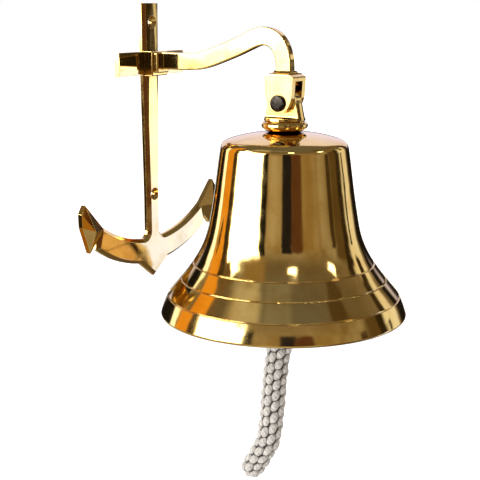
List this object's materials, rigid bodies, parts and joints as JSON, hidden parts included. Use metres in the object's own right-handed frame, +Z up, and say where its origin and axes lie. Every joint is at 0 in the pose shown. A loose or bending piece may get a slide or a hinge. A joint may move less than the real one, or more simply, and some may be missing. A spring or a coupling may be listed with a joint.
{
  "type": "ship bell",
  "caption": "Polished wall-hung ship bell on an anchor-shaped bracket with a swan-neck arm, hinged crown, hanging clapper and plaited rope lanyard.",
  "frame": {"origin": "on the wall plane, on the anchor's centre line, at the height of the middle of its crossbar", "axes": "+Z up, +Y into the wall, so the bell hangs out towards -Y; +X along the crossbar and along the pivot bolt"},
  "size_m": [0.2033, 0.2441, 0.4088],
  "materials": {
    "bell_brass": "mirror polished",
    "bracket_brass": "polished casting",
    "crown_brass": "polished rough casting",
    "bolt_brass": "machined",
    "clapper_brass": "satin",
    "screw_steel": "zinc plated",
    "cotton_cord": "natural cotton cord",
    "seizing_twine": "waxed twine"
  },
  "bodies": {
    "bracket": {"anchor_plate": "bracket_brass", "bracket_arm": "bracket_brass", "arm_screw_upper": "screw_steel", "arm_screw_lower": "screw_steel", "pivot_bolt": "bolt_brass", "pivot_washer": "bolt_brass", "pivot_nut": "bolt_brass"},
    "bell": {"crown_yoke": "crown_brass", "bell_shell": "bell_brass", "crown_washer": "bolt_brass", "crown_nut": "bolt_brass", "clapper_eyebolt": "clapper_brass"},
    "clapper_link": {"clapper_link": "clapper_brass"},
    "clapper": {"clapper_rod": "clapper_brass", "clapper_ball": "clapper_brass", "clapper_tail_eye": "clapper_brass"},
    "lanyard_upper": {"lanyard_becket": "cotton_cord", "lanyard_seizing": "seizing_twine", "lanyard_sennit_upper": "cotton_cord"},
    "lanyard_lower": {"lanyard_sennit_lower": "cotton_cord", "lanyard_end_knot": "cotton_cord"}
  },
  "joints": [
    {"name": "bell_swing", "type": "hinge", "parent": "bracket", "child": "bell", "pos_m": [0, -0.1425, -0.0275], "axis": [1, 0, 0], "range_deg": [-35, 8]},
    {"name": "clapper_swing", "type": "hinge", "parent": "bell", "child": "clapper_link", "pos_m": [0, -0.1425, -0.086], "axis": [1, 0, 0], "range_deg": [-32, 32]},
    {"name": "clapper_sway", "type": "hinge", "parent": "clapper_link", "child": "clapper", "pos_m": [0, -0.1425, -0.1], "axis": [0, 1, 0], "range_deg": [-6, 6]},
    {"name": "lanyard_swing", "type": "hinge", "parent": "clapper", "child": "lanyard_upper", "pos_m": [0, -0.1425, -0.206], "axis": [1, 0, 0], "range_deg": [-18, 8]},
    {"name": "lanyard_bend", "type": "hinge", "parent": "lanyard_upper", "child": "lanyard_lower", "pos_m": [0, -0.1329, -0.285], "axis": [1, 0, 0], "range_deg": [-25, 25], "stiffness_Nm_per_rad": 0.02}
  ]
}
